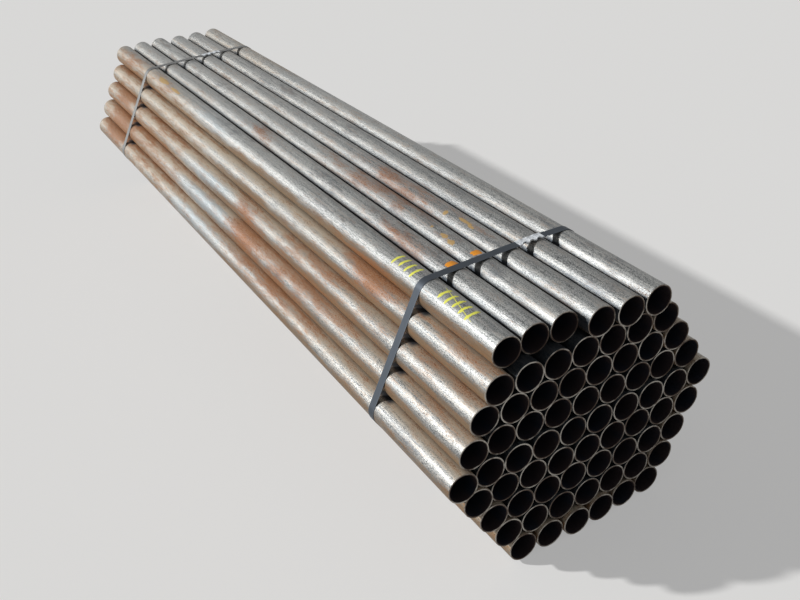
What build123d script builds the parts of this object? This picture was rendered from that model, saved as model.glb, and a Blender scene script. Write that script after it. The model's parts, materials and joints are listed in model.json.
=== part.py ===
from build123d import *
import os
from math import cos, radians, sin, sqrt

# Bundle of round steel pipes, stacked in a hexagon and held by two steel straps.
# Millimetres. +X runs along the pipes towards the near end, +Y to the right seen from there, +Z up.
# The origin is under the middle of the bundle, on the plane that the straps rest on.

# Pipes
pipe_od = 60.3
pipe_wall = 2.9
pipe_length = 2200.0
pipe_gap = 0.3  # clearance between neighbouring pipes
top_row_pipes = 6
widest_row_pipes = 10

# How far a pipe stands out of the near end (+) or back from it (-)
top_row_shifts = (-24.0, -28.0, -26.0, -1.0, 5.0, 7.0)
bottom_row_shifts = (9.0, 11.0, 15.0, 12.0, 7.0, 3.0)
left_pipe_shifts = (-4.0, -7.0, 2.0, 11.0, 8.0, 8.0, 8.0)  # first pipes of the rows between
inner_row_shifts = (-4.0, -4.0, -3.0, 2.0, 3.0, 4.0, 6.0)  # the other pipes of those rows
inner_pipe_scatter = 1.5  # largest shift of one of these from its row's
scatter_turn_by_row = 2.4  # radians of the scatter's wave from row to row
scatter_turn_by_column = 5.1  # and from pipe to pipe

# Straps
strap_width = 19.0
strap_thickness = 0.8
strap_clearance = 0.2  # strap to pipe, and strap to seal
near_strap_inset = 265.0  # from the near ends to the strap's middle
far_strap_inset = 295.0  # from the far ends to the strap's middle
strap_layer_gap = 0.15  # between the strap's overlapped ends
strap_tail = 12.0  # strap end that shows beyond its seal
strap_ease_radius = 60.0  # where the strap bends gently up to its seal
near_seal_y = 75.0
far_seal_y = 42.0

# Crimped seals
seal_length = 57.0
seal_sheet = 0.9
seal_leg = 7.0  # edge folded in under the strap
seal_fold_radius = 1.2
seal_crimps = 3  # on each long edge
seal_crimp_spacing = 17.0
seal_crimp_radius = 4.0
seal_crimp_bite = 2.8  # how far a crimp cuts into the seal's edge

pipe_radius = pipe_od / 2
pitch = pipe_od + pipe_gap
row_rise = pitch * sqrt(3) / 2
rows_to_widest = widest_row_pipes - top_row_pipes
row_counts = [top_row_pipes + i for i in range(rows_to_widest)]
row_counts = row_counts + [widest_row_pipes] + row_counts[::-1]
last_row = len(row_counts) - 1

# The straps pass under the bottom row, so they set its height
bottom_row_z = strap_thickness + strap_clearance + pipe_radius
top_row_z = bottom_row_z + last_row * row_rise


def pipe_y(row, column):
    return (column - (row_counts[row] - 1) / 2) * pitch


def pipe_z(row):
    return top_row_z - row * row_rise


def pipe_shift(row, column):
    """How far this pipe was pushed along its neighbours before the straps were pulled tight."""
    if row == 0:
        return top_row_shifts[column % len(top_row_shifts)]
    if row == last_row:
        return bottom_row_shifts[column % len(bottom_row_shifts)]
    if column == 0:
        return left_pipe_shifts[(row - 1) % len(left_pipe_shifts)]
    row_shift = inner_row_shifts[(row - 1) % len(inner_row_shifts)]
    return row_shift + inner_pipe_scatter * sin(scatter_turn_by_row * row + scatter_turn_by_column * column)


shifts = [pipe_shift(row, column) for row, count in enumerate(row_counts) for column in range(count)]
# With this, the foremost and the rearmost pipe end lie as far from the origin
near_end_x = pipe_length / 2 - (max(shifts) + min(shifts)) / 2
far_end_x = near_end_x - pipe_length

seal_inner_width = strap_width + 2 * strap_clearance
seal_inner_height = 2 * strap_thickness + strap_layer_gap + 2 * strap_clearance
seal_width = seal_inner_width + 2 * seal_sheet
seal_height = seal_inner_height + 2 * seal_sheet
seal_bottom_z = top_row_z + pipe_radius + strap_clearance
seal_middle_z = seal_bottom_z + seal_height / 2
crimp_x = seal_width / 2 - seal_crimp_bite + seal_crimp_radius


def strap_corner(row, column, angle):
    """Where the strap's two straight runs beside a corner pipe would meet, at its mid thickness."""
    reach = (pipe_radius + strap_clearance + strap_thickness / 2) / cos(radians(30))
    return (
        pipe_y(row, column) + reach * cos(radians(angle)),
        pipe_z(row) + reach * sin(radians(angle)),
    )


def strap_route(seal_y):
    """Points of the strap's middle line: from the end under the seal, right and round, to the end on top."""
    layer_rise = (strap_thickness + strap_layer_gap) / 2
    lower_z = seal_middle_z - layer_rise
    upper_z = seal_middle_z + layer_rise
    left_y = seal_y - seal_length / 2 - strap_tail
    right_y = seal_y + seal_length / 2 + strap_tail
    widest = rows_to_widest
    return [
        (left_y, lower_z),
        (right_y, lower_z),
        strap_corner(0, row_counts[0] - 1, 60),
        strap_corner(widest, row_counts[widest] - 1, 0),
        strap_corner(last_row, row_counts[last_row] - 1, -60),
        strap_corner(last_row, 0, -120),
        strap_corner(widest, 0, 180),
        strap_corner(0, 0, 120),
        (left_y - strap_tail, upper_z),
        (right_y, upper_z),
    ]


def crimp_bites(strap_x, seal_y):
    """Round bites along both edges of a seal, which reach into the strap inside it."""
    with BuildSketch(Plane.XY.offset(seal_bottom_z + seal_height)) as bites:
        with Locations((strap_x, seal_y)):
            with GridLocations(2 * crimp_x, seal_crimp_spacing, 2, seal_crimps):
                Circle(seal_crimp_radius)
    return bites.sketch


def make_pipe_row(row):
    """The open tubes of one level row, each a solid of its own."""
    with BuildPart() as pipes:
        for column in range(row_counts[row]):
            with BuildSketch(Plane.YZ.offset(far_end_x + pipe_shift(row, column))):
                with Locations((pipe_y(row, column), pipe_z(row))):
                    Circle(pipe_radius)
                    Circle(pipe_radius - pipe_wall, mode=Mode.SUBTRACT)
            extrude(amount=pipe_length)
    return pipes


def make_strap(strap_x, seal_y):
    """A flat band drawn round the six corner pipes, with its ends overlapped in the seal."""
    corner_radius = pipe_radius + strap_clearance + strap_thickness / 2
    radii = [strap_ease_radius] + 6 * [corner_radius] + [strap_ease_radius]
    with BuildPart() as strap:
        with BuildLine(Plane.YZ.offset(strap_x)) as route:
            FilletPolyline(*strap_route(seal_y), radius=radii)
        with BuildSketch(Plane(route.line @ 0, x_dir=(1, 0, 0), z_dir=route.line % 0)):
            Rectangle(strap_width, strap_thickness)
        sweep(path=route.line)
        extrude(crimp_bites(strap_x, seal_y), amount=-seal_height, mode=Mode.SUBTRACT)
    return strap


def make_seal(strap_x, seal_y):
    """A sheet sleeve folded round the overlapped strap ends, open along its underside, crimped at its edges."""
    with BuildPart() as seal:
        with BuildSketch(Plane.XZ.offset(-seal_y)):
            with Locations((strap_x, seal_middle_z)):
                RectangleRounded(seal_width, seal_height, seal_fold_radius)
                Rectangle(seal_inner_width, seal_inner_height, mode=Mode.SUBTRACT)
            with Locations((strap_x, seal_bottom_z + seal_sheet / 2)):
                Rectangle(seal_inner_width - 2 * seal_leg, 2 * seal_sheet, mode=Mode.SUBTRACT)
        extrude(amount=seal_length / 2, both=True)
        extrude(crimp_bites(strap_x, seal_y), amount=-seal_height, mode=Mode.SUBTRACT)
    return seal


os.makedirs("parts", exist_ok=True)

for row in range(len(row_counts)):
    pipes = make_pipe_row(row)
    pipes.part.label = f"pipe_row_{row + 1}"
    export_step(pipes.part, f"parts/pipe_row_{row + 1}.step")

strap_places = {
    "near": (near_end_x - near_strap_inset, near_seal_y),
    "far": (far_end_x + far_strap_inset, far_seal_y),
}
for name, (strap_x, seal_y) in strap_places.items():
    strap = make_strap(strap_x, seal_y)
    strap.part.label = f"{name}_strap"
    export_step(strap.part, f"parts/{name}_strap.step")
    seal = make_seal(strap_x, seal_y)
    seal.part.label = f"{name}_strap_seal"
    export_step(seal.part, f"parts/{name}_strap_seal.step")
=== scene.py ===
import json
import random
from collections import defaultdict, namedtuple
from math import atan2, cos, degrees, exp, hypot, pi, radians, sin, tan

import bmesh
import bpy
from bpy.props import FloatProperty, FloatVectorProperty, IntProperty, PointerProperty
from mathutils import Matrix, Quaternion, Vector, noise


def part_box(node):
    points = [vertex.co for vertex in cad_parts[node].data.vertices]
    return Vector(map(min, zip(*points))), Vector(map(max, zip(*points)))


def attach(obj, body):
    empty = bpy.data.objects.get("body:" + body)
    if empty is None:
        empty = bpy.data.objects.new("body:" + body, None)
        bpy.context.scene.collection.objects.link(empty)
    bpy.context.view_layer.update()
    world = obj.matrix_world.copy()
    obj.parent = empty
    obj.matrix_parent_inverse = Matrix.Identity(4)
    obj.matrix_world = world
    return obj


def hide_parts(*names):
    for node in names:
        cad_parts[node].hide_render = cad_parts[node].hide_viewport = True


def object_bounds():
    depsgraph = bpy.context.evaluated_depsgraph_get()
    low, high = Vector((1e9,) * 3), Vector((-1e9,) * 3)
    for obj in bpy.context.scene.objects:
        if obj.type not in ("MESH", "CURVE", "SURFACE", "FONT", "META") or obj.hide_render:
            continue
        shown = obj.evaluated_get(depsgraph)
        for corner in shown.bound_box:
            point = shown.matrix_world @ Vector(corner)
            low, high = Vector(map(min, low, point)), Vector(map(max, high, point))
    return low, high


bl_info = {
    "name": "Steel Pipe Bundle",
    "version": (1, 0, 0),
    "blender": (4, 5, 0),
    "location": "3D View > Sidebar > Pipe Bundle",
    "description": "Round black steel pipes stacked in a hexagon and held by two sealed steel straps",
    "category": "Object",
}

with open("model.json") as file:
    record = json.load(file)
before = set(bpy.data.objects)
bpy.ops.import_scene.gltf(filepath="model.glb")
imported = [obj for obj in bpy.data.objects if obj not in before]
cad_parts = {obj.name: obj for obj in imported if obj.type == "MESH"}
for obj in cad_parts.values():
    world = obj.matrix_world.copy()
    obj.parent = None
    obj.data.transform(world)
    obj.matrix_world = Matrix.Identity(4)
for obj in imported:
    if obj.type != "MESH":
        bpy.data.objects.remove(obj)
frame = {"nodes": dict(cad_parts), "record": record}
CAD_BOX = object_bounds()

# Sizes read from the frame
ROW_COUNT = sum(name.startswith("pipe_row_") for name in frame["nodes"])
OUTER_RADIUS = (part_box("pipe_row_1")[1].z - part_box("pipe_row_1")[0].z) / 2
BORES = [mount for mount in frame["record"]["mounts"] if mount["kind"] == "bore"]
BORE_RADIUS = BORES[0]["dims"]["r_mm"] / 1000
STRAP_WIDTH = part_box("near_strap")[1].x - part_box("near_strap")[0].x
NEAR_END = CAD_BOX[1].x

# The straps, with the x of their middles
STRAPS = {name: (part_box(name)[0].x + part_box(name)[1].x) / 2 for name in ("near_strap", "far_strap")}

# A pipe of the bundle: its row from the top, its place in that row from the left, and where it lies
Pipe = namedtuple("Pipe", "row column y z far_x near_x")

# The parts of a pipe's surface, as places in its list of finishes
WALL, RIM, BORE = range(3)


def loose_boxes(mesh):
    """The lowest and the highest corner of each connected part of a mesh."""
    sheet = bmesh.new()
    sheet.from_mesh(mesh)
    unseen = set(sheet.verts)
    boxes = []
    while unseen:
        queue = [unseen.pop()]
        places = []
        while queue:
            vertex = queue.pop()
            places.append(vertex.co.copy())
            others = {edge.other_vert(vertex) for edge in vertex.link_edges} & unseen
            unseen -= others
            queue.extend(others)
        boxes.append([Vector([end(place[i] for place in places) for i in range(3)]) for end in (min, max)])
    sheet.free()
    return boxes


def pipes_in_row(row):
    """The pipes of one row of the frame, from left to right, by the boxes of their outer walls."""
    least_height = 1.99 * OUTER_RADIUS  # bores are lower, and rims are shorter
    walls = [
        (low, high)
        for low, high in loose_boxes(frame["nodes"][f"pipe_row_{row + 1}"].data)
        if high.z - low.z > least_height and high.x - low.x > OUTER_RADIUS
    ]
    walls.sort(key=lambda wall: wall[0].y)
    return [
        Pipe(row, column, (low.y + high.y) / 2, (low.z + high.z) / 2, low.x, high.x)
        for column, (low, high) in enumerate(walls)
    ]


ROWS = [pipes_in_row(row) for row in range(ROW_COUNT)]
PIPES = [pipe for row in ROWS for pipe in row]
WIDEST_ROW = ROWS[ROW_COUNT // 2]
PITCH = ROWS[0][1].y - ROWS[0][0].y
MIDDLE_Z = WIDEST_ROW[0].z

# Patches on the pipes, as soft ellipsoids about points of the bundle. Each row holds how far a patch lies
# behind the foremost pipe end, its y and z, its half length, its half width and its strength.
STAINS = {
    # Orange rust: on the left flank, mostly in its valleys, and last on two top pipes
    "bloom": (
        (0.11, -0.184, 0.43, 0.17, 0.016, 0.55),
        (0.15, -0.214, 0.377, 0.14, 0.015, 0.45),
        (0.12, -0.244, 0.325, 0.14, 0.015, 0.35),
        (0.44, -0.18, 0.425, 0.11, 0.022, 0.9),
        (0.46, -0.182, 0.445, 0.12, 0.016, 0.6),
        (0.43, -0.205, 0.412, 0.08, 0.022, 0.6),
        (1.0, -0.235, 0.362, 0.06, 0.03, 0.75),
        (0.98, -0.262, 0.312, 0.07, 0.03, 0.9),
        (0.68, -0.24, 0.322, 0.3, 0.032, 0.65),
        (0.8, -0.272, 0.272, 0.28, 0.032, 0.65),
        (0.62, -0.215, 0.372, 0.22, 0.022, 0.55),
        (1.74, -0.168, 0.476, 0.14, 0.018, 0.5),
        (1.72, -0.262, 0.312, 0.26, 0.1, 0.35),
        (2.02, -0.262, 0.312, 0.12, 0.045, 0.8),
        (2.05, -0.222, 0.375, 0.12, 0.035, 0.6),
        (2.05, -0.292, 0.262, 0.12, 0.035, 0.7),
        (2.08, -0.165, 0.47, 0.12, 0.035, 0.5),
        (0.41, 0.028, 0.481, 0.06, 0.014, 0.4),
        (0.39, -0.033, 0.481, 0.04, 0.014, 0.4),
    ),
    # A thin red-brown film on the top pipes
    "film": (
        (0.46, -0.105, 0.476, 0.12, 0.026, 0.8),
        (0.67, -0.026, 0.48, 0.22, 0.032, 0.8),
        (0.69, 0.028, 0.48, 0.2, 0.03, 0.7),
        (1.18, -0.095, 0.481, 0.08, 0.028, 0.8),
    ),
    # Stretches where the scale stayed clean
    "clean": (
        (1.29, -0.262, 0.305, 0.22, 0.05, 1.0),
        (1.28, -0.235, 0.36, 0.18, 0.05, 0.6),
        (1.27, -0.295, 0.25, 0.22, 0.05, 0.7),
        (1.32, -0.16, 0.48, 0.18, 0.04, 0.6),
        (0.15, -0.24, 0.32, 0.22, 0.2, 0.3),
    ),
}

# Where the scale wears, rusts and gathers dirt, and where shade is painted. A pair says where a change
# starts
# and where it is complete: in degrees round a pipe from where it touches another, or in metres behind the
# foremost pipe end.
VALLEY, TOP_VALLEY, STRAP_CORNER = (15, 80), (15, 52), (28, 50)
FAR_RUST, FAR_TONE, FAR_UNDERSIDE, FLANK_RISE = (0.9, 1.8), (0.3, 1.2), (1.0, 1.5), (1.3, 1.7)
FLANK_RISE_TURN = 8  # degrees that the flank's rust reaches higher there
FLANK = 35, 44  # degrees from straight up, about the bundle's middle
# Painted shadow of the straps: it lies on the pipes on the near side of each strap, away from the lamp.
STRAP_BESIDE = 0.018, 0.03  # metres from a line this far in front of the strap's middle:
STRAP_SHADOW_SHIFT = 0.01
MOUTH_DEPTH = 0.08

# Rings of points of a pipe's mesh: inside each mouth, and beside the middle of each strap
MOUTH_RINGS = (0.03, 0.09, 0.25)
STRAP_RINGS = (-0.02, -0.008, 0.028, 0.04)

# Heights in the bake map: of each part of a pipe's surface, of a wall that is hidden, and of a gap
MAP_HEIGHTS = {WALL: 10, RIM: 0.8, BORE: 2}
HIDDEN_WALL_HEIGHT, MAP_GAP = 0.6, 0.15

BEND_STEP = 5  # degrees between two sections of a strap's bend

# Paint on the top pipes, whose turns are in degrees from straight up towards the left.
# A dab holds its pipe's column, its turn, and the seed of its outline.
DABS = ((1, -3, 10), (2, -2, 20))
# A smear holds its pipe's column, how far behind the pipe ends it is, its turn, half length and half width.
SMEARS = (
    (3, 0.425, 10, 0.024, 0.0045),
    (3, 0.4, 17, 0.01, 0.0035),
    (3, 0.49, 22, 0.006, 0.0065),
    (2, 0.404, 18, 0.012, 0.0045),
    (2, 0.376, 25, 0.012, 0.006),
    (2, 0.452, 14, 0.004, 0.003),
    (0, 1.775, 20, 0.045, 0.0075),
    (0, 1.665, 27, 0.035, 0.005),
)
SMEAR_SEED, SMEAR_SEED_STEP = 30, 1.7
STROKE_TOP, STROKE_FOOT = -22, 42
NEAR_STROKES, FAR_STROKES = 5, 4
# Points round a stroke's section: across, in half widths, and up, in thicknesses of paint
STROKE_SECTION = ((-1, -1), (-0.8, 0.7), (0, 1), (0.8, 0.7), (1, -1), (0, -1))


def number(name, description, default, low=0.0, **more):
    """A number that the user can change."""
    return FloatProperty(name=name, description=description, default=default, min=low, **more)


def length(name, description, default, low=0.0):
    """A length that the user can change."""
    return number(name, description, default, low, unit="LENGTH")


def vector(name, description, default, subtype="TRANSLATION", **more):
    """A point, a direction or a colour that the user can change."""
    return FloatVectorProperty(name=name, description=description, default=default, subtype=subtype, **more)


def colour(name, description, default):
    """A colour that the user can change."""
    return vector(name, description, default, "COLOR", min=0.0, max=1.0)


class PipeSettings(bpy.types.PropertyGroup):
    """Sizes of one pipe and of its mesh."""

    outer_radius: length("Outer radius", "Half the pipe's outer diameter", OUTER_RADIUS, 0.001)
    bore_radius: length("Bore radius", "Half the pipe's inner diameter", BORE_RADIUS, 0.001)
    edge_rounding: length("Edge rounding", "How far the sawn edges are worn round", 0.0004, 0.00001)
    saw_unevenness: length("Saw unevenness", "How far a sawn end strays from a plane", 0.0003)
    weld_height: length("Weld height", "How far the seam's bead stands into the bore", 0.0006)
    station_spacing: length("Station spacing", "Distance between rings of a wall that shows", 0.05, 0.005)
    facets: IntProperty(name="Facets", description="Flat faces around each pipe", default=96, min=12)


class StrapSettings(bpy.types.PropertyGroup):
    """Sizes of the steel straps."""

    thickness: length("Thickness", "Thickness of the strap", 0.0008, 0.0001)
    clearance: length("Clearance", "Gap between the strap and a pipe", 0.0002)
    layer_gap: length("Layer gap", "Gap between the overlapped ends", 0.00015)
    tail: length("Tail", "Length of the end beyond the seal", 0.012)
    ease_radius: length("Ease radius", "Radius of the bend up to the seal", 0.06, 0.001)
    wander: length("Wander", "How far the strap strays sideways", 0.0006)
    lean: length("Lean", "How far the near strap's sides lie in front of its top", 0.006)
    station_spacing: length("Station spacing", "Distance between sections of the mesh", 0.003, 0.0005)


class SealSettings(bpy.types.PropertyGroup):
    """Sizes of the crimped seals."""

    sheet: length("Sheet", "Thickness of the seal's sheet", 0.0009, 0.0001)
    lip: length("Lip", "Width of the edge folded in under the strap", 0.007, 0.001)
    crimps: IntProperty(name="Crimps", description="Crimps on each long edge", default=3, min=1)
    crimp_spacing: length("Crimp spacing", "Distance between crimps", 0.017, 0.001)
    crimp_reach: length("Crimp reach", "Half width of one crimp", 0.0048, 0.0005)
    crimp_bite: length("Crimp bite", "How far a crimp pinches the edge inwards", 0.0034)
    crimp_lift: length("Crimp lift", "How far a crimp bends the edge up", 0.0026)
    station_spacing: length("Station spacing", "Distance between sections of the mesh", 0.0008, 0.0002)


class MarkSettings(bpy.types.PropertyGroup):
    """Sizes of the paint dabs and of the plain tally strokes."""

    paint_film: length("Paint film", "Thickness of the paint", 0.00015, 0.00002)
    dab_behind: length("Dab place", "From the near strap's middle back to the first dab", 0.0205)
    dab_stagger: length("Dab stagger", "How much further back the second dab is", 0.006)
    dab_length: length("Dab length", "Half a dab's size along the pipe", 0.0105, 0.001)
    dab_height: length("Dab height", "Half a dab's size around the pipe", 0.0125, 0.001)
    stroke_width: length("Stroke width", "Width of a tally stroke", 0.0078, 0.001)
    stroke_spacing: length("Stroke spacing", "Distance between tally strokes", 0.022, 0.002)
    tally_near: length("Near tally", "From the pipe ends back to the near tally", 0.13)
    tally_far: length("Far tally", "From the pipe ends back to the far tally", 0.315)


class FinishSettings(bpy.types.PropertyGroup):
    """Colours of every surface."""

    dark_scale: colour("Dark scale", "Mill scale at its darkest", (0.1, 0.105, 0.108))
    pale_scale: colour("Pale scale", "Mill scale, rubbed bright", (0.59, 0.595, 0.575))
    blue_scale: colour("Blue scale", "Mill scale that stayed blue", (0.36, 0.42, 0.45))
    deep_scale: colour("Deep scale", "Thick mill scale, dark and bluish", (0.12, 0.14, 0.16))
    # The pits' colour also paints the shade in the seams, on walls that face down, in the straps' shadow and
    # on the hidden walls, and is bluish like shade.
    pit_and_shade: colour("Pit", "Small pits in the scale", (0.015, 0.025, 0.038))
    tan_film: colour("Tan film", "Thin film of dust and first rust", (0.56, 0.47, 0.35))
    brown_rust: colour("Brown rust", "Settled rust", (0.195, 0.113, 0.046))
    orange_rust: colour("Orange rust", "Fresh rust", (0.31, 0.118, 0.032))
    brown_rim: colour("Brown rim", "Sawn end, rusted", (0.1, 0.066, 0.048))
    bright_rim: colour("Bright rim", "Sawn end, still bright", (0.54, 0.51, 0.46))
    # Nearly black and bluish: the bore's dark scale, with painted shade.
    bore: colour("Bore", "Inside of a pipe", (0.006, 0.01, 0.02))
    bore_rust: colour("Bore rust", "Rust inside a pipe's mouth", (0.045, 0.022, 0.014))
    strap: colour("Strap", "Blued steel of the straps", (0.062, 0.074, 0.09))
    strap_edge: colour("Strap edge", "Straps' edges, rubbed bright", (0.17, 0.19, 0.22))
    # Dust on the straps, and the paler painted sheen of the far strap.
    strap_dust_and_sheen: colour("Strap dust", "Dust on the straps", (0.34, 0.335, 0.32))
    zinc: colour("Zinc", "Zinc coat of the seals", (0.92, 0.96, 1.0))
    dull_zinc: colour("Dull zinc", "Zinc coat, dulled", (0.33, 0.38, 0.43))
    orange_paint: colour("Orange paint", "Dabs on the top pipes", (0.92, 0.34, 0.02))
    yellow_paint: colour("Yellow paint", "Tally strokes", (0.88, 0.86, 0.12))
    ochre_paint: colour("Ochre paint", "Smears on the top pipes", (0.46, 0.3, 0.12))


class StageSettings(bpy.types.PropertyGroup):
    """The floor, the light and the camera."""

    floor: colour("Floor", "Colour of the floor", (0.8, 0.79, 0.77))
    floor_radius: length("Floor radius", "Half the floor's width", 30.0, 1.0)
    floor_glow: number("Floor glow", "Share of white that the camera sees in it", 0.35, max=1.0)
    backdrop: number("Backdrop", "Brightness of the room as camera and metal see it", 0.5, max=1.0)
    fill: number("Fill", "Light from all round", 0.13)
    lamp: number("Lamp", "Strength of the lamp", 3.2)
    lamp_spread: number("Lamp spread", "How wide the lamp looks", radians(2), subtype="ANGLE")
    lamp_side: vector("Lamp side", "Direction from the bundle to the lamp", (-1.15, -1.7, 1.22), "DIRECTION")
    camera_place: vector("Camera place", "Where the camera stands", (2.1562, -0.8931, 1.3634), unit="LENGTH")
    camera_aim: vector("Camera aim", "What the camera looks at", (0.844, -0.2162, 0.4603), unit="LENGTH")
    camera_roll: number("Camera roll", "How far the camera leans", radians(-5.66), -pi, subtype="ANGLE")
    camera_lens: number("Camera lens", "Focal length on a sensor 36 mm wide", 43.17, 1.0, unit="CAMERA")


class Wire:
    """One output of a shader node. Arithmetic on it adds the Math nodes that it needs."""

    def __init__(self, finish, output):
        self.finish = finish
        self.output = output

    def maths(self, operation, first, second):
        return self.finish.node("ShaderNodeMath", {"operation": operation}, {0: first, 1: second})

    def __add__(self, other):
        return self.maths("ADD", self, other)

    def __sub__(self, other):
        return self.maths("SUBTRACT", self, other)

    def __rsub__(self, other):
        return self.maths("SUBTRACT", other, self)

    def __mul__(self, other):
        return self.maths("MULTIPLY", self, other)

    __radd__ = __add__
    __rmul__ = __mul__

    def larger(self, other):
        """The larger of this and another."""
        return self.maths("MAXIMUM", self, other)


class Finish:
    """A material, or the world, whose nodes are added by Python expressions."""

    def __init__(self, owner):
        self.owner = owner
        owner.use_nodes = True
        self.tree = owner.node_tree
        self.tree.nodes.clear()

    def node(self, kind, settings=(), sockets=(), output=0):
        """Adds a node: its settings first, then a value or a wire for each socket, by name or by place."""
        made = self.tree.nodes.new(kind)
        for setting, value in dict(settings).items():
            setattr(made, setting, value)
        for socket, value in dict(sockets).items():
            if isinstance(value, Wire):
                self.tree.links.new(value.output, made.inputs[socket])
            elif made.inputs[socket].type == "RGBA":
                made.inputs[socket].default_value = (*value, 1.0)
            else:
                made.inputs[socket].default_value = value
        return Wire(self, made.outputs[output] if made.outputs else None)

    def attribute(self, name, output="Fac"):
        """A value that the mesh holds at each of its points."""
        return self.node("ShaderNodeAttribute", {"attribute_name": name}, output=output)

    def noise(self, vector, scale, detail=2.0, roughness=0.5):
        """Soft noise between 0 and 1, mostly near 0.5. The scale is one number, or one for each axis."""
        if isinstance(scale, tuple):
            vector = self.node("ShaderNodeVectorMath", {"operation": "MULTIPLY"}, {0: vector, 1: scale})
            scale = 1.0
        sockets = {"Vector": vector, "Scale": scale, "Detail": detail, "Roughness": roughness}
        return self.node("ShaderNodeTexNoise", {}, sockets)

    def step(self, value, low, high):
        """0 where the value is under low, 1 where it is over high, and smooth between."""
        settings = {"interpolation_type": "SMOOTHSTEP"}
        return self.node("ShaderNodeMapRange", settings, {"Value": value, "From Min": low, "From Max": high})

    def grains(self, vector, along, around, detail):
        """Rough noise from 0 to 1, with about so many grains in a metre along the pipe and around it."""
        return self.step(self.noise(vector, (along, around, around), detail, 0.7), 0.36, 0.64)

    def mix(self, share, first, second):
        """One colour that turns into another as the share goes from 0 to 1."""
        sockets = {0: share, 6: first, 7: second}
        return self.node("ShaderNodeMix", {"data_type": "RGBA"}, sockets, output=2)

    def surface(self, shade, metallic, roughness, relief):
        """Ends the material in one shader. The relief is a height, its scale in metres and its strength."""
        normal = self.node("ShaderNodeBump", {}, dict(zip(("Height", "Distance", "Strength"), relief)))
        sockets = {"Base Color": shade, "Metallic": metallic, "Roughness": roughness, "Normal": normal}
        shader = self.node("ShaderNodeBsdfPrincipled", {}, sockets)
        self.node("ShaderNodeOutputMaterial", {}, {"Surface": shader})
        return self.owner


def new_finish(name, place):
    """An empty material to add nodes to, and the stored place in the piece that its noises follow."""
    finish = Finish(bpy.data.materials.new(name))
    return finish, finish.attribute(place, "Vector")


def scale_finish(colours):
    """Blue-grey mill scale with streaks, pits and the rust that the mesh's stains ask for, and painted
    shade.
    """
    finish, point = new_finish("mill_scale", "pipe_point")
    names = ("tone", "rust_risk", "bloom", "film", "clean", "painted_shade", "underside_rust_and_shade")
    tone, risk, bloom, film, clean, painted_shade, underside_rust_and_shade = [finish.attribute(name) for name in names]

    streak = finish.grains(point, 3, 170, 5)
    line = finish.grains(point, 30, 420, 2)
    patch = finish.grains(point, 14, 55, 6)
    cloud = finish.grains(point, 3, 12, 4)
    grit = finish.noise(point, (380, 620, 620), roughness=0.7)
    speckle = finish.step(grit, 0.38, 0.62)

    bright = finish.step(speckle * 0.5 + line * 0.15 + streak * 0.25 + patch * 0.1 + tone * 0.14, 0.10, 0.98)
    shade = finish.mix(bright, colours.dark_scale, colours.pale_scale)
    deep = finish.step(patch * 0.4 - cloud * 0.6 - risk * 0.3, 0.05, 0.35)
    shade = finish.mix(deep * 0.5, shade, colours.deep_scale)
    blue = finish.step(cloud * 0.4 + clean * 0.6 - risk * 0.3, 0.3, 0.7)
    shade = finish.mix(blue * 0.5, shade, colours.blue_scale)

    worn = speckle * 0.20 + line * 0.12 + streak * 0.16 + patch * 0.12
    dusty = finish.step(worn + risk * 0.8 - clean * 0.25, 0.30, 0.80)
    shade = finish.mix(dusty * 0.8, shade, colours.tan_film)
    # Brown rust, more on the undersides, where it is partly settled rust and partly painted shade.
    rusty = finish.step(worn + cloud * 0.2 + risk * 0.15 + underside_rust_and_shade * 0.45 - clean * 0.2, 0.50, 0.84)
    shade = finish.mix(rusty * 0.9, shade, colours.brown_rust)
    stained = bloom.larger(film * 0.8)
    fresh = finish.step(worn + patch * 0.15 + stained * 0.6 + risk * 0.2, 0.46, 0.98)
    shade = finish.mix(fresh * (0.6 + speckle * 0.5), shade, colours.orange_rust)

    pitted = finish.step(grit + patch * 0.08, 0.65, 0.71)
    shade = finish.mix(pitted * 0.7, shade, colours.pit_and_shade)
    # Painted shade, in the pits' colour: in the seams between top pipes, on walls that face down, in the
    # straps' shadow and on the hidden walls.
    shade = finish.mix(painted_shade * 0.9, shade, colours.pit_and_shade)

    rust = rusty.larger(fresh)
    metal = 0.74 - rust * 0.35 - dusty * 0.38
    rough = 0.38 + speckle * 0.1 + rust * 0.12 + pitted * 0.15 + dusty * 0.06
    height = speckle * 0.4 + line * 0.4 - pitted * 0.6
    return finish.surface(shade, metal, rough, relief=(height, 0.00025, 0.8))


def rim_finish(colours):
    """Sawn steel, bright in places, and browned in others and along its inner edge."""
    finish, point = new_finish("sawn_rim", "pipe_point")
    tone = finish.attribute("tone")
    mouth = finish.attribute("mouth")
    blotch = finish.grains(point, 28, 28, 3)
    saw = finish.noise(point, (300, 1500, 200))
    browned = finish.step(blotch * 0.6 + tone * 0.4 + mouth * 0.5, 0.2, 1.0)
    shade = finish.mix(browned, colours.bright_rim, colours.brown_rim)
    rough = 0.42 + browned * 0.2 + saw * 0.1
    return finish.surface(shade, metallic=0.55, roughness=rough, relief=(saw, 0.0001, 0.6))


def bore_finish(colours):
    """The dark inside of a pipe, its scale painted darker and bluer as shade, with a little rust near its
    mouths.
    """
    finish, point = new_finish("bore_scale", "pipe_point")
    mouth = finish.attribute("mouth")
    patch = finish.noise(point, (8, 30, 30), detail=4)
    line = finish.noise(point, (6, 500, 500))
    rusty = finish.step(patch + mouth * 0.3, 0.55, 0.85) * mouth
    shade = finish.mix(rusty * 0.5, colours.bore, colours.bore_rust)
    return finish.surface(shade, metallic=0.3, roughness=0.55 + patch * 0.2, relief=(line, 0.0002, 0.5))


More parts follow.
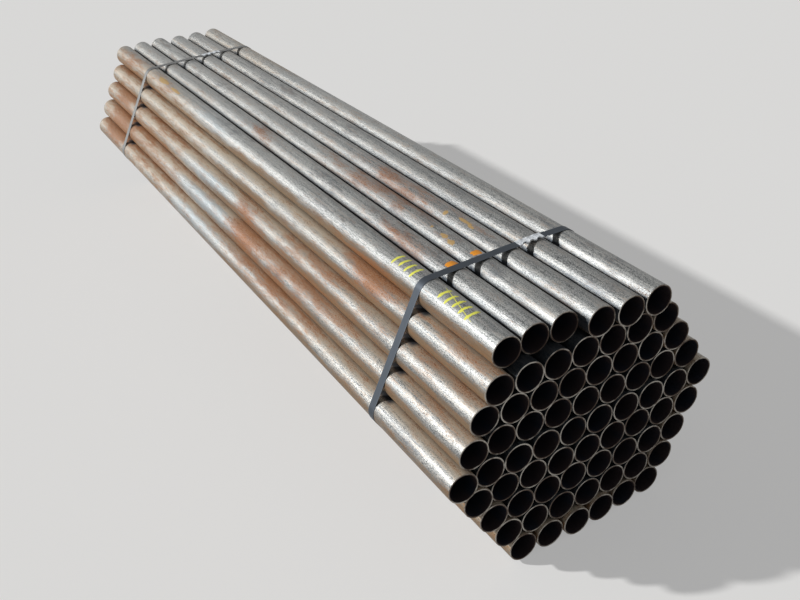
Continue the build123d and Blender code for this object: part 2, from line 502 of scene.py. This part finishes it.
def strap_finish(colours):
    """Blued strap steel with rubbed edges, long scratches and dust, and the far strap painted paler as
    sheen.
    """
    finish, point = new_finish("blued_strap", "local_point")
    edge = finish.attribute("edge")
    patch = finish.noise(point, (60, 20, 20), detail=4)
    line = finish.noise(point, (900, 14, 14), detail=3)
    worn = finish.step(edge * 0.7 + line * 0.5 + patch * 0.3, 0.72, 1.15)
    shade = finish.mix(worn * 0.8, colours.strap, colours.strap_edge)
    # Dust, and on the far strap a painted sheen that makes it paler.
    dusty = finish.step(patch * 0.6 + finish.attribute("painted_sheen") * 0.5, 0.4, 0.9)
    shade = finish.mix(dusty * 0.7, shade, colours.strap_dust_and_sheen)
    return finish.surface(shade, metallic=0.65, roughness=0.44 + patch * 0.18, relief=(line, 0.00008, 0.6))


def zinc_finish(colours):
    """Zinc-coated sheet, bright, and dull where its spangles and scuffs are."""
    finish, point = new_finish("zinc_seal", "local_point")
    spangle = finish.noise(point, 260, detail=3)
    scuff = finish.noise(point, (500, 120, 300), detail=3)
    dulled = finish.step(spangle * 0.6 + scuff * 0.4, 0.48, 0.66)
    shade = finish.mix(dulled, colours.zinc, colours.dull_zinc)
    return finish.surface(shade, metallic=0.2, roughness=0.36 + dulled * 0.16, relief=(scuff, 0.0006, 0.9))


def paint_finish(name, paint):
    """Marking paint that is thin in places and dry."""
    finish, point = new_finish(name, "local_point")
    thin = finish.step(finish.noise(point, 420, detail=3), 0.45, 0.75)
    shade = finish.mix(thin * 0.5, paint, [part / 2 for part in paint])
    return finish.surface(shade, metallic=0.0, roughness=0.5 + thin * 0.2, relief=(thin, 0.00008, 0.6))


def floor_finish(stage):
    """A pale matt floor, which the camera and the metal see a little whiter than it is lit."""
    finish = Finish(bpy.data.materials.new("pale_floor"))
    lit = finish.node("ShaderNodeBsdfDiffuse", {}, {"Color": stage.floor})
    white = finish.node("ShaderNodeEmission", {}, {"Color": (1, 1, 1)})
    share = seen_directly(finish) * stage.floor_glow
    shader = finish.node("ShaderNodeMixShader", {}, {0: share, 1: lit, 2: white})
    finish.node("ShaderNodeOutputMaterial", {}, {"Surface": shader})
    return finish.owner


def seen_directly(finish):
    """1 for a ray from the camera, or for one that metal or glass has turned, and else 0."""
    outputs = ("Is Camera Ray", "Is Glossy Ray", "Is Transmission Ray")
    camera, gloss, glass = [finish.node("ShaderNodeLightPath", output=name) for name in outputs]
    return camera.larger(gloss).larger(glass)


def new_mesh(name, points, faces, finishes, parts=None):
    """A smooth mesh. parts gives each face its place in the list of finishes."""
    mesh = bpy.data.meshes.new(name)
    mesh.from_pydata(points, [], faces)
    for finish in finishes:
        mesh.materials.append(finish)
    if parts:
        mesh.polygons.foreach_set("material_index", parts)
    mesh.shade_smooth()
    mesh.update()
    return mesh


def store(mesh, name, values):
    """Stores a number, or a vector, for each point of a mesh, for its finish."""
    kind, key = "FLOAT", "value"
    if isinstance(values[0], Vector):
        kind, key = "FLOAT_VECTOR", "vector"
        values = [part for value in values for part in value]
    mesh.attributes.new(name, kind, "POINT").data.foreach_set(key, values)


def new_object(name, data):
    """Adds an object to the scene."""
    made = bpy.data.objects.new(name, data)
    bpy.context.scene.collection.objects.link(made)
    return made


def add_piece(mesh, nodes=()):
    """Makes a mesh a piece of the bundle, which stands for these nodes of the frame."""
    piece = new_object(mesh.name, mesh)
    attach(piece, "root")
    if nodes:
        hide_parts(*nodes)


def ramp(value, low, high):
    """0 under low, 1 over high, and smooth between."""
    share = min(max((value - low) / (high - low), 0.0), 1.0)
    return share * share * (3 - 2 * share)


def shows(pipe):
    """Whether a pipe's wall is on the outside of the bundle."""
    return pipe.row in (0, ROW_COUNT - 1) or pipe.column in (0, len(ROWS[pipe.row]) - 1)


def nearest_contact(angle, contacts):
    """The degrees round a pipe from a point of its wall to the nearest where another touches it."""
    return min(abs(degrees((angle - contact + pi) % (2 * pi) - pi)) for contact in contacts)


def rust_risk(place, contact):
    """How readily a point of a wall rusts: more on the flanks, in the valleys and towards the far end."""
    behind = NEAR_END - place.x
    lean = degrees(atan2(abs(place.y), place.z - MIDDLE_Z)) + FLANK_RISE_TURN * ramp(behind, *FLANK_RISE)
    in_valley = 1 - ramp(contact, *VALLEY)
    risk = ramp(lean, *FLANK) * (0.22 + 0.7 * in_valley) + 0.1 * in_valley
    return risk * (0.75 + ramp(behind, *FAR_RUST))


def strap_shadow(place, contact):
    """How dark the straps' painted shadow makes a point of a wall, in the corners under and beside the
    straps.
    """
    nearest = min(abs(place.x - middle - STRAP_SHADOW_SHIFT) for middle in STRAPS.values())
    return (1 - ramp(nearest, *STRAP_BESIDE)) * (1 - ramp(contact, *STRAP_CORNER))


def stain_at(kind, place):
    """How strongly the stains of one kind cover a point."""
    total = 0.0
    for behind, y, z, half_length, half_width, strength in STAINS[kind]:
        along = (NEAR_END - place.x - behind) / half_length
        across = hypot(place.y - y, place.z - z) / half_width
        total += strength * exp(-along * along - across * across)
    return min(total, 1.0)


def wear_and_shade_at(pipe, place, tone, up, contact, painted_shade):
    """What the mill scale's finish needs to know about one point of a pipe, painted shade included."""
    seen = shows(pipe)
    behind = NEAR_END - place.x
    # Painted shade on the walls that face down
    below = 0.85 * ramp(-up, 0.5, 0.9)
    # The undersides' rust and painted shade fade towards the far end
    fading = 1 - 0.5 * ramp(behind, *FAR_UNDERSIDE)
    wear_and_shade = {
        "tone": 0.6 * tone + ramp(behind, *FAR_TONE),
        "rust_risk": rust_risk(place, contact) if seen else 0.0,
        # Undersides: settled rust and painted shade
        "underside_rust_and_shade": (1 - ramp(up, 0.0, 0.7)) * fading,
        # Painted shade: in the seams between top pipes, on walls that face down, in the straps' shadow, and
        # on all of each hidden wall
        "painted_shade": max(painted_shade, below, strap_shadow(place, contact)) if seen else 1.0,
    }
    for kind in STAINS:
        wear_and_shade[kind] = stain_at(kind, place) if seen else 0.0
    return wear_and_shade


def wall_outline(pipe, sizes):
    """The section of a pipe's wall: (x, radius, part) from its far mouth out, along, in and back."""
    rounding = sizes.edge_rounding
    support = 4 * rounding  # where the flat wall and the bore start
    corner = [(rounding * (1 - cos(turn)), rounding * (1 - sin(turn))) for turn in (0, pi / 4, pi / 2)]
    outside = [(inset, sizes.outer_radius - drop, RIM) for inset, drop in corner]
    inside = [(inset, sizes.bore_radius + drop, RIM) for inset, drop in corner]
    inside += [(depth, sizes.bore_radius, BORE) for depth in (support, *MOUTH_RINGS)]
    span = pipe.near_x - pipe.far_x - 2 * support
    count = round(span / sizes.station_spacing) if shows(pipe) else 1
    stations = [pipe.far_x + support + span * k / count for k in range(count + 1)]
    if shows(pipe):
        stations += [middle + offset for middle in STRAPS.values() for offset in STRAP_RINGS]
    outline = [(pipe.far_x + inset, radius, part) for inset, radius, part in outside]
    outline += [(x, sizes.outer_radius, WALL) for x in sorted(stations)]
    outline += [(pipe.near_x - inset, radius, part) for inset, radius, part in outside[::-1] + inside]
    outline += [(pipe.far_x + inset, radius, part) for inset, radius, part in inside[::-1]]
    return outline


def map_bands(row):
    """For each pipe of a row, the share of the bake map's height that each part of its surface gets."""
    weights = [MAP_HEIGHTS if shows(pipe) else {**MAP_HEIGHTS, WALL: HIDDEN_WALL_HEIGHT} for pipe in row]
    total = sum(sum(weight.values()) + len(weight) * MAP_GAP for weight in weights)
    bands = []
    low = MAP_GAP / 2
    for weight in weights:
        band = {}
        for part, height in weight.items():
            band[part] = (low / total, (low + height) / total)
            low += height + MAP_GAP
        bands.append(band)
    return bands


def spokes_round(pipe, seam, facets):
    """The lines of points along a pipe, from its seam on: the direction out, the degrees round the pipe from
    where another touches it, and the painted shade there between two top pipes."""
    reach = 1.2 * PITCH  # the pipes that don't touch this one lie further away
    touched = [other for other in PIPES if 0 < hypot(other.y - pipe.y, other.z - pipe.z) < reach]
    contacts = [atan2(other.z - pipe.z, other.y - pipe.y) for other in touched]
    level = [contact for contact, other in zip(contacts, touched) if other.row == pipe.row]
    spokes = []
    for k in range(facets):
        angle = seam + 2 * pi * k / facets
        # Painted shade in the seams between two top pipes
        painted_shade = 1 - ramp(nearest_contact(angle, level), *TOP_VALLEY) if pipe.row == 0 else 0.0
        spokes.append((Vector((0, cos(angle), sin(angle))), nearest_contact(angle, contacts), painted_shade))
    return spokes


class PipeSurface:
    """Collects the points, the faces and the stored values of a row of pipes."""

    def __init__(self, sizes):
        self.sizes = sizes
        self.points, self.faces, self.parts, self.corners = [], [], [], []
        self.values = defaultdict(list)

    def add(self, pipe, band):
        """Adds one pipe, and its places in the bake map."""
        dice = random.Random(100 * pipe.row + pipe.column)
        seam = dice.uniform(0, 2 * pi)
        tone = dice.random()
        offset = Vector([dice.uniform(-9, 9) for _ in range(3)])  # its place in the noises
        outline = wall_outline(pipe, self.sizes)
        first = len(self.points)
        spokes = spokes_round(pipe, seam, self.sizes.facets)
        axis = Vector((0, pipe.y, pipe.z))
        for x, radius, part in outline:
            depth = min(pipe.near_x - x, x - pipe.far_x)
            inside = radius < (self.sizes.outer_radius + self.sizes.bore_radius) / 2
            mouth = 1 - ramp(depth, 0.0, MOUTH_DEPTH) if inside else 0.0
            for k, (out, contact, painted_shade) in enumerate(spokes):
                bead = self.sizes.weld_height if part == BORE and k == 0 else 0
                place = axis + out * (radius - bead)
                place.x = x
                if part == RIM:
                    inwards = -1 if x > 0 else 1
                    sawn = abs(noise.noise(out * 2.5 + offset))
                    place.x += inwards * self.sizes.saw_unevenness * sawn
                self.points.append(place)
                self.values["pipe_point"].append(place - axis + offset)
                self.values["mouth"].append(mouth)
                for name, value in wear_and_shade_at(pipe, place, tone, out.z, contact, painted_shade).items():
                    self.values[name].append(value)
        self.add_faces(pipe, band, outline, first)

    def add_faces(self, pipe, band, outline, first):
        """Adds the faces between a pipe's rings of points, of which the first has this number."""
        facets = self.sizes.facets
        for ring, station in enumerate(outline):
            after = (ring + 1) % len(outline)
            side = min(station[2], outline[after][2], key=(WALL, BORE, RIM).index)
            self.faces += ring_faces(first + ring * facets, first + after * facets, facets)
            self.parts += [side] * facets
            for k in range(facets):
                for end, turn in ((ring, k), (ring, k + 1), (after, k + 1), (after, k)):
                    self.corners.append(self.map_place(pipe, band[side], side, outline[end], turn / facets))

    def map_place(self, pipe, band, side, station, around):
        """Where a corner of a face lies in the bake map."""
        x, radius, _ = station
        if side == RIM:
            depth = (radius - self.sizes.bore_radius) / (self.sizes.outer_radius - self.sizes.bore_radius)
            return ((0.5 if x > 0 else 0.0) + 0.49 * around, band[0] + (band[1] - band[0]) * depth)
        along = (x - pipe.far_x) / (pipe.near_x - pipe.far_x)
        return (along, band[0] + (band[1] - band[0]) * around)

    def mesh(self, name, finishes):
        """The finished mesh of all the pipes that were added."""
        made = new_mesh(name, self.points, self.faces, finishes, self.parts)
        for value_name, values in self.values.items():
            store(made, value_name, values)
        layer = made.uv_layers.new(name="OFBake")
        layer.data.foreach_set("uv", [part for corner in self.corners for part in corner])
        return made


def ring_faces(near, far, count):
    """Faces between two rings of as many points, given by the numbers of their first points."""
    return [(near + k, near + (k + 1) % count, far + (k + 1) % count, far + k) for k in range(count)]


def add_run(points, end, spacing):
    """Adds evenly spaced points from the last one to the end."""
    start = points[-1]
    count = max(1, round((end - start).length / spacing))
    points.extend(start.lerp(end, k / count) for k in range(1, count + 1))


def rounded_path(corners, radii, spacing):
    """Points (y, z) along the straight runs between corners, with each inner corner rounded."""
    points = [Vector(corners[0])]
    for before, corner, after, radius in zip(corners, corners[1:], corners[2:], radii):
        corner = Vector(corner)
        back = (Vector(before) - corner).normalized()
        ahead = (Vector(after) - corner).normalized()
        half = back.angle(ahead) / 2
        middle = corner + (back + ahead).normalized() * (radius / sin(half))
        add_run(points, corner + back * (radius / tan(half)), spacing)
        arm = points[-1] - middle
        turn = (pi - 2 * half) * (1 if back.cross(ahead) < 0 else -1)
        steps = max(2, round(abs(degrees(turn)) / BEND_STEP))
        for k in range(1, steps + 1):
            c, s = cos(turn * k / steps), sin(turn * k / steps)
            points.append(middle + Vector((c * arm.x - s * arm.y, s * arm.x + c * arm.y)))
    add_run(points, Vector(corners[-1]), spacing)
    return points


def strap_route(seal_low, seal_high, sizes):
    """Points of a strap's middle line, from the end under the seal round to the end on top."""
    reach = OUTER_RADIUS + sizes.clearance + sizes.thickness / 2

    def bend(pipe, turn):
        """Where the straight runs beside a corner pipe would meet."""
        distance = reach / cos(radians(30))  # half of what the strap turns there
        return (pipe.y + distance * cos(radians(turn)), pipe.z + distance * sin(radians(turn)))

    rise = (sizes.thickness + sizes.layer_gap) / 2
    middle_z = (seal_low.z + seal_high.z) / 2
    left = seal_low.y - sizes.tail
    right = seal_high.y + sizes.tail
    corners = [
        (left, middle_z - rise),
        (right, middle_z - rise),
        bend(ROWS[0][-1], 60),
        bend(WIDEST_ROW[-1], 0),
        bend(ROWS[-1][-1], -60),
        bend(ROWS[-1][0], -120),
        bend(WIDEST_ROW[0], 180),
        bend(ROWS[0][0], 120),
        (left - sizes.tail, middle_z + rise),
        (right, middle_z + rise),
    ]
    radii = [sizes.ease_radius] + 6 * [reach] + [sizes.ease_radius]
    return rounded_path(corners, radii, sizes.station_spacing)


def band_section(width, thickness):
    """Outline (across, out) of a flat band with rounded edges."""
    half_width, half_thickness = width / 2, thickness / 2
    outline = []
    for side in (1, -1):
        for turn in range(90, -91, -45):
            across = half_width - half_thickness + half_thickness * cos(radians(turn))
            outline.append((side * across, side * half_thickness * sin(radians(turn))))
        for share in (0.8, 0.4, 0.0, -0.4, -0.8):
            outline.append((side * share * half_width, -side * half_thickness))
    return outline


def crimped(place, low, high, seal):
    """A point of a seal that fills this box, or of its strap, after jaws have pinched the edges."""
    half_width = (high.x - low.x) / 2
    middle = (low + high) / 2
    across, along = place.x - middle.x, place.y - middle.y
    crimps = [(k - (seal.crimps - 1) / 2) * seal.crimp_spacing for k in range(seal.crimps)]
    pinch = sum(exp(-(((along - crimp) / seal.crimp_reach) ** 4)) for crimp in crimps)
    grip = min(abs(across) / half_width, 1.0) ** 2 * pinch
    inwards = -1 if across > 0 else 1
    return Vector((place.x + inwards * grip * seal.crimp_bite, place.y, place.z + grip * seal.crimp_lift))


def swept(rings):
    """The points and faces of a closed skin through rings of as many points."""
    count = len(rings[0])
    points = [place for ring in rings for place in ring]
    faces = []
    for start in range(0, (len(rings) - 1) * count, count):
        faces += ring_faces(start, start + count, count)
    for start, turned in ((0, -1), (len(points) - count, 1)):
        for k in range(count // 2 - 1):
            cap = (k, k + 1, count - 2 - k, count - 1 - k)
            faces.append(tuple(start + corner for corner in cap[::turned]))
    return points, faces


def joined_mesh(name, shapes, finish):
    """One mesh of several shapes, each given by its points and its faces."""
    points, faces = [], []
    for shape_points, shape_faces in shapes:
        first = len(points)
        points += shape_points
        faces += [tuple(first + corner for corner in face) for face in shape_faces]
    mesh = new_mesh(name, points, faces, [finish])
    mesh.set_sharp_from_angle(angle=radians(50))
    store(mesh, "local_point", points)
    return mesh


def strap_mesh(name, sizes, seal, finish):
    """A flat band drawn round the bundle, its overlapped ends pinched by the seal."""
    low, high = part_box(name + "_seal")
    x = STRAPS[name]
    section = band_section(STRAP_WIDTH, sizes.thickness)
    route = strap_route(low, high, sizes)
    wander_pace = 9  # swings to and fro in a metre of strap
    rings = []
    for k, here in enumerate(route):
        tangent = (route[min(k + 1, len(route) - 1)] - route[max(k - 1, 0)]).normalized()
        out = Vector((-tangent.y, tangent.x))
        sway = sizes.wander * noise.noise(Vector((here.x * wander_pace, here.y * wander_pace, x)))
        if name == "near_strap":
            sway += sizes.lean * min((low.z - here.y) / (low.z - MIDDLE_Z), 1.0)
        ring = []
        for across, up in section:
            there = here + out * up
            place = Vector((x + across + sway, there.x, there.y))
            if there.y > low.z:
                place = crimped(place, low, high, seal)
            ring.append(place)
        rings.append(ring)
    mesh = joined_mesh(name + "_band", [swept(rings)], finish)
    edges = [ramp(abs(across) / (STRAP_WIDTH / 2), 0.75, 1.0) for across, _ in section]
    store(mesh, "edge", edges * len(rings))
    # The far strap gets a painted sheen, which makes it paler.
    store(mesh, "painted_sheen", [float(name == "far_strap")] * len(mesh.vertices))
    return mesh


def sleeve_section(width, height, sheet, lip):
    """Outline (x, z) of a sheet folded round a strap, about its middle: the outside, then the inside."""
    fold = (height - sheet) / 2
    half_flat = (width - sheet) / 2 - fold
    line = [(-half_flat + lip * k / 3, -fold, 0, -1) for k in (3, 2, 1)]
    for turn in range(-90, -271, -20):
        c, s = cos(radians(turn)), sin(radians(turn))
        line.append((-half_flat + fold * c, fold * s, c, s))
    line += [(half_flat * share, fold, 0, 1) for share in (-0.8, -0.5, -0.2)]
    line += [(-x, z, -out_x, out_z) for x, z, out_x, out_z in reversed(line)]
    outside = [(x + out_x * sheet / 2, z + out_z * sheet / 2) for x, z, out_x, out_z in line]
    inside = [(x - out_x * sheet / 2, z - out_z * sheet / 2) for x, z, out_x, out_z in line]
    return outside + inside[::-1]


def seal_mesh(name, seal, finish):
    """A zinc-coated sleeve whose edges are crimped into the strap."""
    low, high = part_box(name)
    middle = (low + high) / 2
    section = sleeve_section(high.x - low.x, high.z - low.z, seal.sheet, seal.lip)
    count = round((high.y - low.y) / seal.station_spacing)
    rings = []
    for k in range(count + 1):
        y = low.y + (high.y - low.y) * k / count
        ring = [Vector((middle.x + x, y, middle.z + z)) for x, z in section]
        rings.append([crimped(place, low, high, seal) for place in ring])
    return joined_mesh(name + "_sleeve", [swept(rings)], finish)


def on_pipe(pipe, behind, turn, height):
    """A point above a pipe's wall. turn is from straight up towards the left, in degrees."""
    reach = OUTER_RADIUS + height
    angle = radians(turn)
    return Vector((NEAR_END - behind, pipe.y - reach * sin(angle), pipe.z + reach * cos(angle)))


def dab(pipe, behind, turn, half_length, half_width, film, seed):
    """The points and faces of a dab of paint with a wavy outline, domed a little."""
    spokes, rings = 40, 6
    waviness, wave_pace = 0.5, 1.4
    around = degrees(half_width / OUTER_RADIUS)
    points = [on_pipe(pipe, behind, turn, film)]
    for ring in range(1, rings + 2):
        share = min(ring, rings) / rings
        rise = film * (1 - share**4) if ring <= rings else -film
        for k in range(spokes):
            angle = 2 * pi * k / spokes
            wave = noise.noise(Vector((cos(angle) * wave_pace, sin(angle) * wave_pace, seed)))
            reach = share * (1 + waviness * wave)
            along = behind + reach * half_length * cos(angle)
            points.append(on_pipe(pipe, along, turn + reach * around * sin(angle), rise))
    points.append(on_pipe(pipe, behind, turn, -film))
    faces = [(0, 1 + k, 1 + (k + 1) % spokes) for k in range(spokes)]
    for ring in range(rings):
        quads = ring_faces(1 + ring * spokes, 1 + (ring + 1) * spokes, spokes)
        faces += [(a, d, c, b) for a, b, c, d in quads]
    last, bottom = 1 + rings * spokes, len(points) - 1
    faces += [(bottom, last + (k + 1) % spokes, last + k) for k in range(spokes)]
    return points, faces


def stroke(pipe, start, end, width, film, seed):
    """The points and faces of one brushed stroke between two points (behind, turn) of a pipe's wall."""
    steps = 18
    drift, drift_pace = 0.0012, 3
    unevenness, uneven_pace = 0.3, 6
    tip, taper = 0.35, 6  # the tip's share of the width, and how fast the stroke widens from it
    rings = []
    for k in range(steps + 1):
        share = k / steps
        sway = drift * noise.noise(Vector((share * drift_pace, seed, 0)))
        behind = start[0] + (end[0] - start[0]) * share + sway
        turn = start[1] + (end[1] - start[1]) * share
        half = width / 2 * (tip + (1 - tip) * min(1, taper * share, taper * (1 - share)))
        half *= 1 + unevenness * noise.noise(Vector((share * uneven_pace, seed, 5)))
        section = [(behind + half * across, turn, film * up) for across, up in STROKE_SECTION]
        rings.append([on_pipe(pipe, *place) for place in section])
    return swept(rings)


def tally(pipe, behind, count, crossed, marks):
    """Plain tally strokes round a pipe, the first one this far behind the foremost pipe end."""
    slant, front, back = 0.004, 0.012, 0.014  # the crossing stroke passes the others by front and back
    strokes = []
    for k in range(count):
        place = behind + k * marks.stroke_spacing
        ends = (place, STROKE_TOP + 3 * (k % 2)), (place + slant, STROKE_FOOT - 4 * (k % 3))
        strokes.append(stroke(pipe, *ends, marks.stroke_width, marks.paint_film, 10 * behind + k))
    if crossed:
        reach = (count - 1) * marks.stroke_spacing
        ends = (behind - front, STROKE_FOOT - 8), (behind + reach + back, STROKE_TOP + 10)
        strokes.append(stroke(pipe, *ends, marks.stroke_width, 1.6 * marks.paint_film, seed=7))
    return strokes


class LayPipes(bpy.types.Operator):
    """Lay the nine rows of pipes"""

    bl_idname = "bundle.lay_pipes"
    bl_label = "Lay Pipes"

    def execute(self, context):
        colours = context.scene.finish_colours
        finishes = [scale_finish(colours), rim_finish(colours), bore_finish(colours)]
        for place, row in enumerate(ROWS, 1):
            surface = PipeSurface(context.scene.pipe_sizes)
            for pipe, band in zip(row, map_bands(row)):
                surface.add(pipe, band)
            mesh = surface.mesh(f"pipes_in_row_{place}", finishes)
            add_piece(mesh, [f"pipe_row_{place}"])
        return {"FINISHED"}


class DrawStraps(bpy.types.Operator):
    """Draw the two straps round the bundle"""

    bl_idname = "bundle.draw_straps"
    bl_label = "Draw Straps"

    def execute(self, context):
        scene = context.scene
        finish = strap_finish(scene.finish_colours)
        for name in STRAPS:
            add_piece(strap_mesh(name, scene.strap_sizes, scene.seal_sizes, finish), [name])
        return {"FINISHED"}


class CrimpSeals(bpy.types.Operator):
    """Crimp a seal over the overlapped ends of each strap"""

    bl_idname = "bundle.crimp_seals"
    bl_label = "Crimp Seals"

    def execute(self, context):
        scene = context.scene
        finish = zinc_finish(scene.finish_colours)
        for name in STRAPS:
            seal = name + "_seal"
            add_piece(seal_mesh(seal, scene.seal_sizes, finish), [seal])
        return {"FINISHED"}


class PaintMarks(bpy.types.Operator):
    """Paint dabs behind the near strap, small smears and plain tally strokes"""

    bl_idname = "bundle.paint_marks"
    bl_label = "Paint Marks"

    def execute(self, context):
        marks = context.scene.mark_sizes
        colours = context.scene.finish_colours
        top_row = ROWS[0]
        behind = NEAR_END - STRAPS["near_strap"] + marks.dab_behind
        size = marks.dab_length, marks.dab_height, marks.paint_film
        dabs = [
            dab(top_row[column], behind + k * marks.dab_stagger, turn, *size, seed)
            for k, (column, turn, seed) in enumerate(DABS)
        ]
        smears = [
            dab(top_row[column], *place_and_size, marks.paint_film, SMEAR_SEED + SMEAR_SEED_STEP * k)
            for k, (column, *place_and_size) in enumerate(SMEARS)
        ]
        strokes = tally(top_row[0], marks.tally_near, NEAR_STROKES, True, marks)
        strokes += tally(top_row[0], marks.tally_far, FAR_STROKES, False, marks)
        shapes = {"paint_dabs": dabs, "paint_smears": smears, "tally_strokes": strokes}
        for name, paint in zip(shapes, ("orange_paint", "ochre_paint", "yellow_paint")):
            finish = paint_finish(paint, getattr(colours, paint))
            add_piece(joined_mesh(name, shapes[name], finish))
        return {"FINISHED"}


class SetStage(bpy.types.Operator):
    """Set up the floor, the light and the camera"""

    bl_idname = "bundle.set_stage"
    bl_label = "Set Stage"

    def execute(self, context):
        scene = context.scene
        stage = scene.stage_settings
        reach = stage.floor_radius
        corners = [(-reach, -reach, 0), (reach, -reach, 0), (reach, reach, 0), (-reach, reach, 0)]
        mesh = new_mesh("floor", corners, [(0, 1, 2, 3)], [floor_finish(stage)])
        floor = new_object("floor", mesh)

        room = Finish(bpy.data.worlds.new("room"))
        white = {"Color": (1, 1, 1)}
        fill = room.node("ShaderNodeBackground", {}, {**white, "Strength": stage.fill})
        seen = room.node("ShaderNodeBackground", {}, {**white, "Strength": stage.backdrop})
        shader = room.node("ShaderNodeMixShader", {}, {0: seen_directly(room), 1: fill, 2: seen})
        room.node("ShaderNodeOutputWorld", {}, {"Surface": shader})
        scene.world = room.owner

        sun = bpy.data.lights.new("lamp", "SUN")
        sun.energy = stage.lamp
        sun.angle = stage.lamp_spread
        lamp = new_object("lamp", sun)
        lamp.rotation_mode = "QUATERNION"
        lamp.rotation_quaternion = Vector(stage.lamp_side).to_track_quat("Z", "Y")

        lens = bpy.data.cameras.new("camera")
        lens.lens = stage.camera_lens
        lens.clip_end = 2 * reach
        camera = new_object("camera", lens)
        camera.location = stage.camera_place
        look = Vector(stage.camera_aim) - Vector(stage.camera_place)
        camera.rotation_mode = "QUATERNION"
        camera.rotation_quaternion = look.to_track_quat("-Z", "Y") @ Quaternion((0, 0, 1), stage.camera_roll)
        scene.camera = camera
        scene.view_settings.view_transform = "Standard"
        return {"FINISHED"}


SETTINGS = {
    "pipe_sizes": PipeSettings,
    "strap_sizes": StrapSettings,
    "seal_sizes": SealSettings,
    "mark_sizes": MarkSettings,
    "finish_colours": FinishSettings,
    "stage_settings": StageSettings,
}
OPERATORS = (LayPipes, DrawStraps, CrimpSeals, PaintMarks, SetStage)


class BundlePanel(bpy.types.Panel):
    """Sizes and colours of the bundle, and a button for each of its pieces"""

    bl_idname = "VIEW3D_PT_pipe_bundle"
    bl_label = "Pipe Bundle"
    bl_space_type = "VIEW_3D"
    bl_region_type = "UI"
    bl_category = "Pipe Bundle"

    def draw(self, context):
        for operator in OPERATORS:
            self.layout.operator(operator.bl_idname)
        for name, group in SETTINGS.items():
            box = self.layout.box()
            box.label(text=name.replace("_", " ").capitalize())
            for setting in group.__annotations__:
                box.prop(getattr(context.scene, name), setting)


CLASSES = (*SETTINGS.values(), *OPERATORS, BundlePanel)


def register():
    """Adds the classes and the scene's settings to Blender."""
    for made in CLASSES:
        bpy.utils.register_class(made)
    for name, group in SETTINGS.items():
        setattr(bpy.types.Scene, name, PointerProperty(type=group))


def unregister():
    """Takes the settings and the classes away again."""
    for name in SETTINGS:
        delattr(bpy.types.Scene, name)
    for made in reversed(CLASSES):
        bpy.utils.unregister_class(made)


def main():
    """Builds the bundle and its stage."""
    register()
    bpy.ops.bundle.lay_pipes()
    bpy.ops.bundle.draw_straps()
    bpy.ops.bundle.crimp_seals()
    bpy.ops.bundle.paint_marks()
    bpy.ops.bundle.set_stage()


if __name__ == "__main__":
    main()
